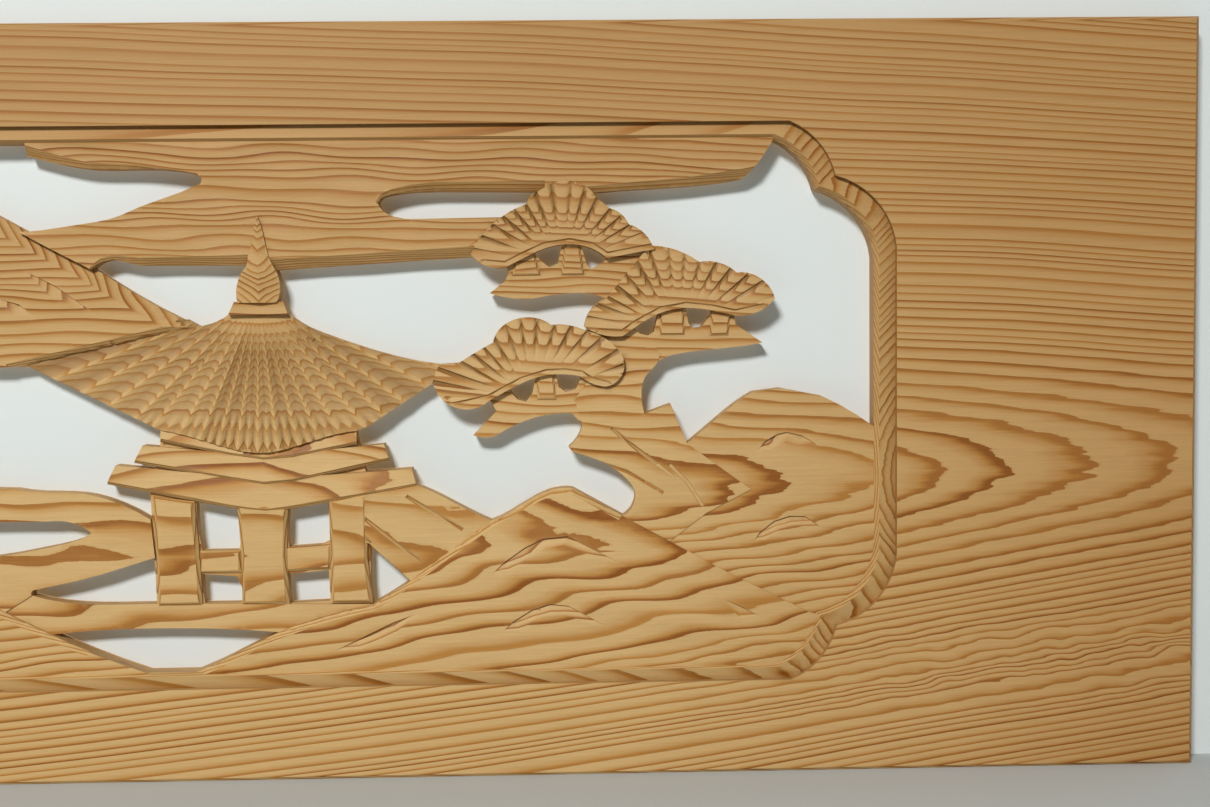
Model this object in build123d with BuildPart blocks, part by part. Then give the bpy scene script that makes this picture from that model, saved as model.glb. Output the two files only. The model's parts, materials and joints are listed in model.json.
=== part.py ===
from build123d import *
import math
import os

# A pierced and carved transom panel: one board of cedar. Its plain border is the frame, a carved
# moulding runs round the opening, and the landscape in the opening is carved in the same wood.
# X runs along the panel, Z is up, the front looks to -Y, the origin is under the middle of the board.

# Board
panel_width = 890.0
panel_height = 360.0
thickness = 15.0
edge_ease = 1.6

# Opening inside the moulding
opening_width = 580.0
opening_height = 252.0
opening_rise = 52.5

# Moulding round the opening
rim_side_width = 10.5
rim_level_width = 7.75
rim_bevel = 2.2
rim_foot_depth = 4.0
rim_crest_depth = 1.2

# Depth of each carved form below the face
cloud_depth = 3.4
far_mountain_depth = 5.0
mist_depth = 5.6
ground_depth = 6.4
near_mountain_depth = 2.6
right_mountain_depth = 4.0
trunk_depth = 3.4
bough_depth = 5.6
fan_rim_depth = 1.2
fan_crown_depth = 2.8
roof_ridge_depth = 8.0
roof_tip_depth = 7.4
roof_corner_depth = 3.4
roof_eave_depth = 1.8
eave_high_depth = 5.6
eave_low_depth = 3.4
hall_wall_depth = 8.0
post_depth = 4.6
rail_depth = 6.2
block_depth = 4.4
pent_depth = 5.2
finial_ridge_depth = 1.2
finial_side_depth = 3.8
finial_base_depth = 4.4

# Chisel work
post_bevel = 1.8
rail_bevel = 1.2
cloud_bevel_width = 5.0
cloud_bevel_drop = 4.6
slope_facet_width = 7.0
slope_facet_drop = 4.0
foot_facet_width = 3.6
foot_facet_drop = 3.2
eave_bevel_width = 2.0
eave_bevel_drop = 2.4
ridge_bevel_width = 2.6
ridge_bevel_drop = 1.8
fold_width = 4.6
fold_depth = 1.8
line_width = 2.2
line_depth = 1.2
needle_width = 3.4
needle_depth = 1.5
thatch_width = 3.0
thatch_depth = 1.4
steep_width = 0.5
edge_clearance = 1.2
cut_overrun = 2.0

# Moulding corner: two arcs that meet in a cusp, in shares of the half width and half height
rim_corner_shares = [(0.83, 1.0), (0.876, 0.926), (0.903, 0.806), (0.965, 0.724), (1.0, 0.55)]

# Outlines of the carved forms, in shares of half the opening's width (from its middle) and of its
# height (from its lower edge). Each stretch goes on from the last point of the one before it, and the
# last stretch closes the outline. One point is a straight run, two are an arc, more are a curve.
upper_tongue_shares = [(-0.33, 0.963), (-0.28, 0.953), (-0.20, 0.952), (-0.103, 0.94)]
cloud_skirt_shares = [(-0.335, 0.799), (-0.28, 0.766)]
cloud_arch_shares = [(-0.262, 0.780), (-0.243, 0.783), (-0.22, 0.777), (-0.20, 0.772)]
cloud_left_edge_shares = [(-0.10, 0.771), (-0.025, 0.771)]
cloud_right_edge_shares = [(0.08, 0.765), (0.20, 0.773), (0.335, 0.782)]
right_tongue_shares = [(0.62, 0.907), (0.70, 0.912), (0.785, 0.925)]
cloud_shares = [
    [(-0.38, 0.978)],
    upper_tongue_shares,
    [(-0.097, 0.931), (-0.105, 0.921)],
    [(-0.15, 0.90), (-0.20, 0.88), (-0.24, 0.861), (-0.30, 0.849), (-0.36, 0.839), (-0.395, 0.837)],
    cloud_skirt_shares,
    cloud_arch_shares,
    cloud_left_edge_shares,
    [(0.018, 0.761)],
    cloud_right_edge_shares,
    [(0.45, 0.80)],
    [(0.54, 0.86)],
    [(0.545, 0.901)],
    right_tongue_shares,
    [(0.805, 0.947), (0.82, 0.97), (0.836, 1.0)],
    [(0.836, 1.012)],
    [(-0.38, 1.012)],
]
cloud_edge_shares = [
    [(-0.40, 0.985)] + upper_tongue_shares,
    cloud_skirt_shares[-1:] + cloud_arch_shares + cloud_left_edge_shares,
    [(0.0, 0.762)] + cloud_right_edge_shares + [(0.36, 0.784)],
    [(0.53, 0.90)] + right_tongue_shares + [(0.84, 0.936)],
]
cloud_bevel_end_shares = [(1, 0.15), (0.2, 1), (1, 1), (0.6, 1)]
slot_top_shares = [(0.195, 0.895), (0.21, 0.90), (0.24, 0.9045), (0.28, 0.906)]
cloud_slot_shares = [
    slot_top_shares,
    [(0.455, 0.904)],
    [(0.41, 0.856)],
    [(0.24, 0.854)],
    [(0.21, 0.86), (0.193, 0.873), (0.188, 0.885)],
]
slot_edge_shares = [(0.186, 0.884)] + slot_top_shares + [(0.46, 0.904)]
slot_bevel_end_shares = (0.15, 1)
far_slope_shares = [
    (-0.16, 0.684), (-0.22, 0.724), (-0.28, 0.769), (-0.39, 0.841), (-0.47, 0.893), (-0.54, 0.945),
]
far_slope_edge_shares = [(-0.09, 0.642)] + far_slope_shares
far_foot_edge_shares = [(-0.42, 0.576), (-0.25, 0.62), (-0.09, 0.663)]
far_mountain_shares = [
    far_slope_shares,
    [(-0.565, 0.933)],
    [(-0.59, 0.948)],
    [(-0.62, 0.936)],
    [(-0.72, 0.862), (-0.86, 0.772), (-1.006, 0.70)],
    [(-1.006, 0.34)],
    [(-0.80, 0.34)],
    [(-0.85, 0.40), (-0.86, 0.47), (-0.83, 0.54), (-0.75, 0.583)],
    [(-0.39, 0.584)],
    [(-0.112, 0.657)],
]
roof_shares = [
    [(-0.175, 0.462)],
    [(-0.12, 0.447), (-0.06, 0.426), (-0.01, 0.417), (0.05, 0.43), (0.145, 0.456)],
    [(0.165, 0.465)],
    [(0.27, 0.543)],
    [(0.277, 0.56), (0.288, 0.579)],
    [(0.24, 0.588), (0.18, 0.606), (0.10, 0.638), (0.055, 0.662), (0.036, 0.68)],
    [(-0.06, 0.68)],
    [(-0.08, 0.666), (-0.11, 0.657)],
    [(-0.13, 0.67)],
    [(-0.388, 0.60)],
    [(-0.388, 0.583)],
]
roof_top_share = (-0.01, 0.68)
roof_left_tip_share = (-0.388, 0.583)
roof_right_tip_share = (0.288, 0.579)
roof_left_corner_share = (-0.175, 0.462)
roof_right_corner_share = (0.155, 0.46)
roof_eave_share = (-0.01, 0.417)
finial_shares = [
    [(0.0, 0.835), (0.006, 0.80), (0.016, 0.768)],
    [(0.026, 0.735), (0.02, 0.70)],
    [(-0.044, 0.70)],
    [(-0.044, 0.735), (-0.027, 0.768)],
    [(-0.02, 0.80), (-0.014, 0.835), (-0.008, 0.862)],
]
finial_top_share = (-0.008, 0.862)
finial_foot_share = (-0.008, 0.70)
finial_left_share = (-0.046, 0.72)
finial_right_share = (0.03, 0.72)
finial_base_shares = [(-0.05, 0.702), (0.03, 0.702), (0.037, 0.678), (-0.06, 0.678)]

# Eaves: each row is the outer and inner ends of a tier's upper edge, then of its lower edge
left_eave_shares = [
    [(-0.175, 0.470), (-0.008, 0.43), (-0.008, 0.402), (-0.06, 0.411), (-0.175, 0.44)],
    [(-0.205, 0.433), (-0.008, 0.41), (-0.008, 0.355), (-0.06, 0.365), (-0.22, 0.40)],
    [(-0.25, 0.396), (-0.008, 0.365), (-0.008, 0.302), (-0.06, 0.311), (-0.265, 0.36)],
]
right_eave_shares = [
    [(0.145, 0.462), (-0.008, 0.43), (-0.008, 0.402), (0.04, 0.405), (0.145, 0.43)],
    [(0.19, 0.43), (-0.008, 0.41), (-0.008, 0.355), (0.04, 0.359), (0.199, 0.398)],
    [(0.235, 0.383), (-0.008, 0.365), (-0.008, 0.302), (0.04, 0.309), (0.243, 0.348)],
]

# Hall under the eaves
hall_wall_shares = [
    (-0.175, 0.45), (0.145, 0.445), (0.163, 0.35), (0.163, 0.115), (-0.19, 0.115), (-0.197, 0.35),
]
window_shares = [
    [(-0.122, 0.322), (-0.055, 0.316), (-0.05, 0.25), (-0.053, 0.228), (-0.113, 0.228), (-0.12, 0.27)],
    [(0.03, 0.312), (0.096, 0.324), (0.097, 0.245), (0.08, 0.236), (0.03, 0.232), (0.027, 0.26)],
    [(-0.115, 0.185), (-0.057, 0.18), (-0.05, 0.157), (-0.05, 0.129), (-0.112, 0.129), (-0.115, 0.16)],
    [(0.027, 0.183), (0.06, 0.186), (0.094, 0.19), (0.096, 0.13), (0.03, 0.127), (0.025, 0.155)],
]
post_shares = [
    [(-0.191, 0.335), (-0.124, 0.325), (-0.117, 0.22), (-0.115, 0.126), (-0.187, 0.126)],
    [(-0.054, 0.316), (0.029, 0.312), (0.026, 0.22), (0.029, 0.126), (-0.049, 0.126), (-0.049, 0.23)],
    [(0.097, 0.327), (0.16, 0.337), (0.16, 0.2), (0.166, 0.126), (0.098, 0.126)],
]
rail_shares = [
    [(-0.118, 0.23), (-0.05, 0.23), (-0.05, 0.187), (-0.118, 0.187)],
    [(0.024, 0.234), (0.099, 0.239), (0.097, 0.192), (0.024, 0.188)],
]
pent_shares = [
    [(0.24, 0.352)],
    [(0.268, 0.338), (0.32, 0.306), (0.37, 0.278)],
    [(0.30, 0.212)],
    [(0.235, 0.162)],
    [(0.163, 0.24)],
    [(0.15, 0.245)],
    [(0.15, 0.335)],
]
pent_line_shares = [
    [(0.105, 0.304), (0.165, 0.241)],
    [(0.13, 0.312), (0.246, 0.204)],
    [(0.225, 0.33), (0.317, 0.264)],
]

# Mist, ground and hills
mist_top_shares = [(-0.36, 0.346), (-0.30, 0.342), (-0.25, 0.325), (-0.196, 0.292)]
low_slot_top_shares = [(-0.25, 0.198), (-0.30, 0.182), (-0.37, 0.165), (-0.388, 0.161)]
mist_shares = [
    mist_top_shares,
    [(-0.19, 0.219)],
    low_slot_top_shares,
    [(-0.394, 0.156), (-0.394, 0.15)],
    [(-0.45, 0.11)],
    [(-0.55, 0.10)],
    [(-0.98, 0.15)],
    [(-1.005, 0.20)],
    [(-1.006, 0.37)],
    [(-0.79, 0.37)],
    [(-0.70, 0.361), (-0.56, 0.357), (-0.415, 0.353)],
]
mist_slot_shares = [
    [(-0.315, 0.284), (-0.293, 0.268)],
    [(-0.31, 0.257), (-0.36, 0.242), (-0.44, 0.226), (-0.55, 0.224)],
    [(-0.579, 0.2575), (-0.55, 0.291)],
    [(-0.36, 0.291)],
]
ground_shares = [
    [(-0.33, 0.134), (-0.26, 0.13), (-0.187, 0.13)],
    [(0.17, 0.123)],
    [(0.10, 0.085)],
    [(0.01, 0.072)],
    [(-0.06, 0.079), (-0.18, 0.083), (-0.30, 0.08), (-0.37, 0.073)],
    [(-0.45, 0.06)],
    [(-0.45, 0.16)],
    [(-0.396, 0.15)],
]
near_ridge_shares = [(-0.08, 0.022), (0.01, 0.072), (0.09, 0.103), (0.165, 0.123)]
near_shoulder_shares = [(0.20, 0.146), (0.30, 0.228), (0.365, 0.281)]
near_peak_shares = [(0.44, 0.327), (0.463, 0.338), (0.50, 0.341)]
near_mountain_shares = [
    near_ridge_shares,
    near_shoulder_shares,
    near_peak_shares,
    [(0.58, 0.289)],
    [(0.75, 0.18)],
    [(0.89, 0.098)],
    [(0.909, 0.092)],
    [(0.882, 0.031), (0.83, -0.008)],
    [(-0.13, -0.008)],
    [(-0.13, -0.002)],
]
near_edge_shares = [
    near_shoulder_shares[::-1] + near_ridge_shares[::-1] + [(-0.13, -0.002)],
    [(0.58, 0.289)] + near_peak_shares[::-1] + near_shoulder_shares[-1:],
]
left_ridge_shares = [
    (-0.30, 0.042), (-0.40, 0.097), (-0.55, 0.19), (-0.64, 0.242), (-0.71, 0.265), (-0.79, 0.266), (-0.90, 0.245),
    (-1.004, 0.205),
]
left_mountain_shares = [
    left_ridge_shares,
    [(-0.971, 0.132), (-0.909, 0.092)],
    [(-0.882, 0.031), (-0.83, -0.008)],
    [(-0.20, -0.008)],
    [(-0.20, -0.002)],
]
right_ridge_shares = [(0.73, 0.462), (0.77, 0.499), (0.80, 0.521)]
right_mountain_shares = [
    right_ridge_shares,
    [(0.845, 0.527)],
    [(0.915, 0.511)],
    [(0.955, 0.487), (1.006, 0.447)],
    [(1.006, 0.22)],
    [(0.971, 0.132), (0.909, 0.092)],
    [(0.86, 0.09)],
    [(0.62, 0.235)],
    [(0.62, 0.37)],
    [(0.69, 0.424)],
]

# Trunk and the three fans of the pine
trunk_shares = [
    [(0.602, 0.315), (0.603, 0.332), (0.588, 0.36), (0.555, 0.388), (0.50, 0.412)],
    [(0.494, 0.42)],
    [(0.512, 0.445), (0.517, 0.463)],
    [(0.505, 0.51)],
    [(0.56, 0.60)],
    [(0.64, 0.61)],
    [(0.64, 0.575), (0.622, 0.552), (0.615, 0.52), (0.62, 0.482)],
    [(0.663, 0.50)],
    [(0.69, 0.424)],
    [(0.795, 0.335)],
    [(0.72, 0.29)],
    [(0.66, 0.238)],
    [(0.583, 0.287)],
]
upper_fan_shares = [
    [(0.352, 0.815), (0.39, 0.857)],
    [(0.413, 0.872), (0.43, 0.88)],
    [(0.437, 0.895), (0.45, 0.904)],
    [(0.465, 0.913), (0.475, 0.917)],
    [(0.495, 0.923), (0.512, 0.916)],
    [(0.533, 0.907), (0.543, 0.891)],
    [(0.556, 0.88), (0.565, 0.871)],
    [(0.586, 0.858), (0.597, 0.84)],
    [(0.622, 0.823), (0.637, 0.793)],
    [(0.56, 0.777)],
    [(0.535, 0.796), (0.50, 0.804), (0.46, 0.797), (0.43, 0.782), (0.395, 0.762)],
    [(0.36, 0.766), (0.338, 0.787)],
]
right_fan_shares = [
    [(0.53, 0.675), (0.56, 0.703)],
    [(0.605, 0.765)],
    [(0.63, 0.80)],
    [(0.675, 0.791), (0.712, 0.768)],
    [(0.746, 0.766), (0.773, 0.748)],
    [(0.814, 0.735), (0.836, 0.698)],
    [(0.815, 0.677), (0.77, 0.667)],
    [(0.73, 0.677), (0.69, 0.682), (0.65, 0.674), (0.61, 0.65), (0.585, 0.63)],
    [(0.55, 0.633), (0.522, 0.648)],
]
lower_fan_shares = [
    [(0.315, 0.582)],
    [(0.345, 0.603), (0.372, 0.62)],
    [(0.385, 0.648), (0.43, 0.667), (0.45, 0.663), (0.467, 0.652)],
    [(0.497, 0.651), (0.524, 0.641)],
    [(0.562, 0.621), (0.583, 0.595)],
    [(0.586, 0.565), (0.557, 0.535)],
    [(0.53, 0.543), (0.515, 0.555)],
    [(0.49, 0.559), (0.46, 0.558), (0.42, 0.544), (0.365, 0.511)],
    [(0.31, 0.498), (0.274, 0.54)],
    [(0.276, 0.56), (0.284, 0.58)],
]
upper_bough_shares = [
    [(0.40, 0.752)],
    [(0.392, 0.735)],
    [(0.367, 0.713)],
    [(0.40, 0.704), (0.43, 0.701)],
    [(0.46, 0.707), (0.50, 0.712), (0.53, 0.711), (0.56, 0.70)],
    [(0.62, 0.70)],
    [(0.635, 0.79)],
    [(0.45, 0.82)],
    [(0.395, 0.762)],
]
right_bough_shares = [
    [(0.772, 0.65)],
    [(0.817, 0.614)],
    [(0.79, 0.609), (0.735, 0.603), (0.665, 0.592)],
    [(0.635, 0.573), (0.618, 0.545)],
    [(0.57, 0.545)],
    [(0.525, 0.61)],
    [(0.53, 0.655)],
    [(0.65, 0.70)],
    [(0.76, 0.69)],
    [(0.77, 0.667)],
]
lower_bough_shares = [
    [(0.376, 0.49)],
    [(0.337, 0.444)],
    [(0.355, 0.44), (0.372, 0.442)],
    [(0.41, 0.465), (0.45, 0.48), (0.50, 0.484)],
    [(0.517, 0.463)],
    [(0.61, 0.47)],
    [(0.61, 0.58)],
    [(0.42, 0.58)],
    [(0.365, 0.511)],
]
bough_window_shares = [
    [(0.443, 0.784), (0.443, 0.81), (0.49, 0.82), (0.48, 0.768), (0.466, 0.761), (0.455, 0.771)],
    [(0.515, 0.815), (0.56, 0.80), (0.56, 0.774), (0.545, 0.764), (0.534, 0.757), (0.527, 0.767)],
    [(0.604, 0.646), (0.604, 0.67), (0.65, 0.70), (0.637, 0.637), (0.627, 0.63), (0.613, 0.634)],
    [(0.687, 0.70), (0.733, 0.695), (0.733, 0.671), (0.715, 0.645), (0.70, 0.643), (0.694, 0.653)],
    [(0.398, 0.529), (0.398, 0.555), (0.445, 0.58), (0.436, 0.525), (0.425, 0.507), (0.41, 0.512)],
    [(0.47, 0.58), (0.516, 0.575), (0.516, 0.552), (0.507, 0.53), (0.49, 0.525), (0.479, 0.534)],
]
bough_block_shares = [
    [(0.412, 0.79), (0.44, 0.80), (0.452, 0.745), (0.404, 0.745)],
    [(0.493, 0.82), (0.514, 0.82), (0.524, 0.745), (0.484, 0.745)],
    [(0.648, 0.695), (0.686, 0.70), (0.688, 0.63), (0.646, 0.63)],
    [(0.735, 0.69), (0.766, 0.69), (0.76, 0.628), (0.728, 0.628)],
    [(0.443, 0.575), (0.47, 0.58), (0.475, 0.51), (0.443, 0.51)],
]

# Slope of each fan: left and right end of its rim, and its crown
fan_hinge_shares = [
    [(0.395, 0.762), (0.56, 0.777), (0.495, 0.923)],
    [(0.585, 0.63), (0.77, 0.667), (0.675, 0.791)],
    [(0.365, 0.511), (0.515, 0.555), (0.43, 0.667)],
]

# Needle cuts of a fan: middle, reach of the rim ends and reach of the crown, with first and last angle
fan_middle_shares = [(0.505, 0.785), (0.69, 0.66), (0.46, 0.54)]
fan_rim_reach_shares = [(0.085, 0.034), (0.095, 0.034), (0.085, 0.034)]
fan_crown_reach_shares = [(0.19, 0.16), (0.19, 0.16), (0.20, 0.15)]
fan_angles = [(172, 8), (168, 8), (168, 14)]
needles_per_fan = 13

# Thatch cuts of the roof: rows of strokes round the finial's foot
thatch_middle_share = (-0.01, 0.70)
thatch_row_shares = [(0.18, 0.34), (0.39, 0.56), (0.61, 0.78), (0.83, 1.02)]
thatch_reach_share = (0.37, 0.29)
thatch_angles = (190, 350)
strokes_per_row = 23

# Folds cut into the hillsides, and lines along the trunk
near_fold_shares = [
    [(0.355, 0.17), (0.385, 0.20), (0.42, 0.228), (0.45, 0.245), (0.49, 0.249), (0.648, 0.155)],
    [(0.372, 0.06), (0.40, 0.087), (0.43, 0.108), (0.46, 0.119), (0.49, 0.115), (0.595, 0.05)],
    [(0.08, 0.026), (0.14, 0.055), (0.20, 0.088), (0.262, 0.116)],
    [(0.72, 0.142), (0.78, 0.107), (0.828, 0.08)],
]
right_fold_shares = [
    [(0.80, 0.40), (0.82, 0.425), (0.84, 0.438), (0.855, 0.442), (0.88, 0.435), (0.92, 0.41)],
    [(0.795, 0.225), (0.81, 0.25), (0.835, 0.272), (0.86, 0.281), (0.885, 0.28), (0.935, 0.243)],
]
left_fold_shares = [
    [(-0.60, 0.10), (-0.66, 0.15), (-0.71, 0.165), (-0.76, 0.155), (-0.84, 0.10)],
]
far_fold_shares = [
    [(-0.42, 0.784), (-0.34, 0.734), (-0.245, 0.658)],
    [(-0.45, 0.72), (-0.40, 0.70), (-0.36, 0.668)],
]
trunk_bend_shares = [(0.53, 0.50), (0.64, 0.50), (0.60, 0.61)]
trunk_line_shares = [
    [(0.565, 0.455), (0.61, 0.412), (0.665, 0.363)],
    [(0.66, 0.385), (0.69, 0.35), (0.715, 0.304)],
    [(0.53, 0.395), (0.59, 0.372), (0.65, 0.33)],
]

# Values worked out from the sizes above
front = -thickness / 2
half_opening = opening_width / 2
opening_middle = opening_rise + opening_height / 2
back_plane = Plane(origin=(0, thickness / 2, 0), x_dir=(1, 0, 0), z_dir=(0, -1, 0))


def spot(share):
    """Place on the panel's face, in the drawing plane, from shares of the opening."""
    return (share[0] * half_opening, opening_rise + share[1] * opening_height)


def face_plane(depth):
    """Drawing plane that lies this far below the front face."""
    return Plane(origin=(0, front + depth, 0), x_dir=(1, 0, 0), z_dir=(0, -1, 0))


def rim_plane(depth):
    """Drawing plane below the front face with its origin at the middle of the opening."""
    return Plane(origin=(0, front + depth, opening_middle), x_dir=(1, 0, 0), z_dir=(0, -1, 0))


def slope_plane(low, middle, high):
    """Plane through three places, each given as its share and its depth; it looks out of the front."""
    places = []
    for share, depth in (low, middle, high):
        x, z = spot(share)
        places.append(Vector(x, front + depth, z))
    along = places[1] - places[0]
    normal = along.cross(places[2] - places[0])
    if normal.Y > 0:
        normal = -normal
    return Plane(origin=places[0], x_dir=along, z_dir=normal)


def depth_on(slope, share):
    """Depth below the face of a sloping plane at a place."""
    x, z = spot(share)
    side = slope.z_dir.X * (x - slope.origin.X) + slope.z_dir.Z * (z - slope.origin.Z)
    return slope.origin.Y - side / slope.z_dir.Y - front


def reach_point(middle, reach, part, angle):
    """Share of the place that lies part of the reach away from a middle, at an angle in degrees."""
    across = math.cos(math.radians(angle)) * reach[0] * part
    up = math.sin(math.radians(angle)) * reach[1] * part
    return (middle[0] + across, middle[1] + up)


def draw_stretches(stretches):
    """Closed outline of straight runs, arcs and curves, one after another."""
    last = spot(stretches[-1][-1])
    for stretch in stretches:
        points = [last] + [spot(share) for share in stretch]
        if len(points) == 2:
            Line(*points)
        elif len(points) == 3:
            ThreePointArc(*points)
        else:
            Spline(*points)
        last = points[-1]


def carved_form(stretches, depth, slopes=()):
    """Solid from the flat back up to a depth below the face, planed down by sloping cuts."""
    with BuildPart() as form:
        with BuildSketch(back_plane):
            with BuildLine():
                draw_stretches(stretches)
            make_face()
        extrude(amount=thickness - depth)
        for slope in slopes:
            split(bisect_by=slope, keep=Keep.BOTTOM)
    return form.part


def straight_form(corners, depth, slopes=()):
    """Carved form with straight sides between its corners."""
    return carved_form([[corner] for corner in corners], depth, slopes)


def raised_block(corners, depth, bevel):
    """Straight-sided block whose front edges are bevelled all round."""
    with BuildPart() as block:
        with BuildSketch(back_plane):
            Polygon(*[spot(corner) for corner in corners], align=None)
        extrude(amount=thickness - depth)
        chamfer(faces().sort_by(Axis.Y)[0].edges(), length=bevel)
    return block.part


def piercing(corners):
    """Straight-sided hole that runs out past both faces."""
    with BuildPart() as hole:
        with BuildSketch(back_plane.offset(-cut_overrun)):
            Polygon(*[spot(corner) for corner in corners], align=None)
        extrude(amount=thickness + 2 * cut_overrun)
    return hole.part


def long_piercing(stretches):
    """Hole with a curved outline that runs out past both faces."""
    with BuildPart() as hole:
        with BuildSketch(back_plane.offset(-cut_overrun)):
            with BuildLine():
                draw_stretches(stretches)
            make_face()
        extrude(amount=thickness + 2 * cut_overrun)
    return hole.part


def chisel_cut(path, levels, depths, left_width, right_width, full_depth, beyond=0):
    """V cut along a path of shares. A level is how far the surface there lies below the face, a depth is
    how far the cut goes below that surface; the widths are those of a cut of the full depth. The cut's
    bottom may lie beyond the path, on its right, at the end of the same slope."""
    places = [Vector(*spot(share)) for share in path]
    with BuildPart() as cut:
        for k, place in enumerate(places):
            ahead = places[min(k + 1, len(places) - 1)]
            behind = places[max(k - 1, 0)]
            along = (ahead - behind).normalized()
            section_plane = Plane(
                origin=(place.X, front + levels[k], place.Y),
                x_dir=(-along.Y, 0, along.X),
                z_dir=(along.X, 0, along.Y),
            )
            spread = (depths[k] + cut_overrun) / full_depth
            with BuildSketch(section_plane):
                Polygon(
                    (left_width * spread, cut_overrun),
                    (-right_width * spread - beyond, cut_overrun),
                    (-beyond, -depths[k] - beyond * full_depth / left_width),
                    align=None,
                )
        loft(ruled=True)
    return cut.part


def run_out_cut(path, level, depth, left_width, right_width):
    """V cut on a level surface that runs out of the wood at both ends."""
    depths = [-cut_overrun / 2] + [depth] * (len(path) - 2) + [-cut_overrun / 2]
    return chisel_cut(path, [level] * len(path), depths, left_width, right_width, depth)


def edge_bevel(path, level, width, drop, end_shares=(1, 1)):
    """Bevel along an edge that has the wood on the left of the path; it may narrow towards an end."""
    first, last = end_shares
    drops = [drop * (first + (last - first) * k / (len(path) - 1)) for k in range(len(path))]
    return chisel_cut(path, [level] * len(path), drops, width, steep_width, drop, edge_clearance)


def line_cut(path, level):
    """Fine line that goes on at an even depth."""
    half = line_width / 2
    return chisel_cut(path, [level] * len(path), [line_depth] * len(path), half, half, line_depth)


def cut_from(form, cuts):
    """The form with the cuts taken out of it."""
    with BuildPart() as carved:
        add(form)
        for cut in cuts:
            add(cut, mode=Mode.SUBTRACT)
    return carved.part


def rim_sketch(depth, share):
    """Moulding outline at a depth: share 0 is the opening's edge, 1 is the moulding's outer line."""
    half_width = half_opening + share * rim_side_width
    half_height = opening_height / 2 + share * rim_level_width
    corner = [(across * half_width, up * half_height) for across, up in rim_corner_shares]
    with BuildSketch(rim_plane(depth)) as outline:
        with BuildLine():
            Line((0, half_height), corner[0])
            ThreePointArc(corner[0], corner[1], corner[2])
            ThreePointArc(corner[2], corner[3], corner[4])
            Line(corner[4], (half_width, 0))
            mirror(about=Plane.YZ)
            mirror(about=Plane.XZ)
        make_face()
    return outline.sketch


# Border board with the eased edges, and the moulding round the opening
opening_edge = rim_sketch(rim_foot_depth, 0)
rim_crest = rim_sketch(rim_crest_depth, rim_bevel / rim_side_width)
rim_foot = rim_sketch(rim_foot_depth, 1)

with BuildPart() as border:
    with BuildSketch(back_plane):
        with Locations((0, panel_height / 2)):
            Rectangle(panel_width, panel_height)
    extrude(amount=thickness)
    chamfer(faces().sort_by(Axis.Y)[0].edges(), length=edge_ease)
    extrude(rim_foot, amount=rim_foot_depth + cut_overrun, mode=Mode.SUBTRACT)
    extrude(opening_edge, amount=thickness, both=True, mode=Mode.SUBTRACT)

with BuildPart() as rim:
    loft([rim_foot, rim_crest], ruled=True)
    loft([opening_edge, rim_crest], ruled=True, mode=Mode.SUBTRACT)

# Clouds
cloud_cuts = [
    long_piercing(cloud_slot_shares),
    edge_bevel(slot_edge_shares, cloud_depth, cloud_bevel_width, cloud_bevel_drop, slot_bevel_end_shares),
]
for path, end_shares in zip(cloud_edge_shares, cloud_bevel_end_shares):
    cloud_cuts.append(edge_bevel(path, cloud_depth, cloud_bevel_width, cloud_bevel_drop, end_shares))
cloud = cut_from(carved_form(cloud_shares, cloud_depth), cloud_cuts)

# Far mountain with the facet down its right slope
far_cuts = [
    edge_bevel(far_slope_edge_shares, far_mountain_depth, slope_facet_width, slope_facet_drop),
    edge_bevel(far_foot_edge_shares, far_mountain_depth, foot_facet_width, foot_facet_drop),
]
for path in far_fold_shares:
    far_cuts.append(run_out_cut(path, far_mountain_depth, fold_depth, steep_width, fold_width))
far_mountain = cut_from(carved_form(far_mountain_shares, far_mountain_depth), far_cuts)

# Thatched roof: four slopes that fall from the eave to the ridge, with rows of strokes
roof_top = (roof_top_share, roof_ridge_depth)
roof_left_tip = (roof_left_tip_share, roof_tip_depth)
roof_right_tip = (roof_right_tip_share, roof_tip_depth)
roof_left_corner = (roof_left_corner_share, roof_corner_depth)
roof_right_corner = (roof_right_corner_share, roof_corner_depth)
roof_eave = (roof_eave_share, roof_eave_depth)
roof_slopes = [
    slope_plane(roof_top, roof_left_tip, roof_left_corner),
    slope_plane(roof_top, roof_left_corner, roof_eave),
    slope_plane(roof_top, roof_eave, roof_right_corner),
    slope_plane(roof_top, roof_right_corner, roof_right_tip),
]
thatch_cuts = []
for row, (inner, outer) in enumerate(thatch_row_shares):
    for k in range(strokes_per_row):
        turn = (k + row % 2 / 2) / (strokes_per_row - 1)
        angle = thatch_angles[0] + turn * (thatch_angles[1] - thatch_angles[0])
        stroke = []
        for part in (inner, outer):
            stroke.append(reach_point(thatch_middle_share, thatch_reach_share, part, angle))
        levels = [max(depth_on(slope, share) for slope in roof_slopes) for share in stroke]
        depths = [0, thatch_depth]
        half = thatch_width / 2
        thatch_cuts.append(chisel_cut(stroke, levels, depths, half, half, thatch_depth))
roof = cut_from(carved_form(roof_shares, roof_eave_depth, roof_slopes), thatch_cuts)

# Finial with its middle ridge, on a base plate
finial_top = (finial_top_share, finial_ridge_depth)
finial_foot = (finial_foot_share, finial_ridge_depth)
finial_slopes = [
    slope_plane(finial_top, finial_foot, (finial_left_share, finial_side_depth)),
    slope_plane(finial_top, finial_foot, (finial_right_share, finial_side_depth)),
]
finial = carved_form(finial_shares, finial_ridge_depth, finial_slopes)
finial_base = straight_form(finial_base_shares, finial_base_depth)

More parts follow.
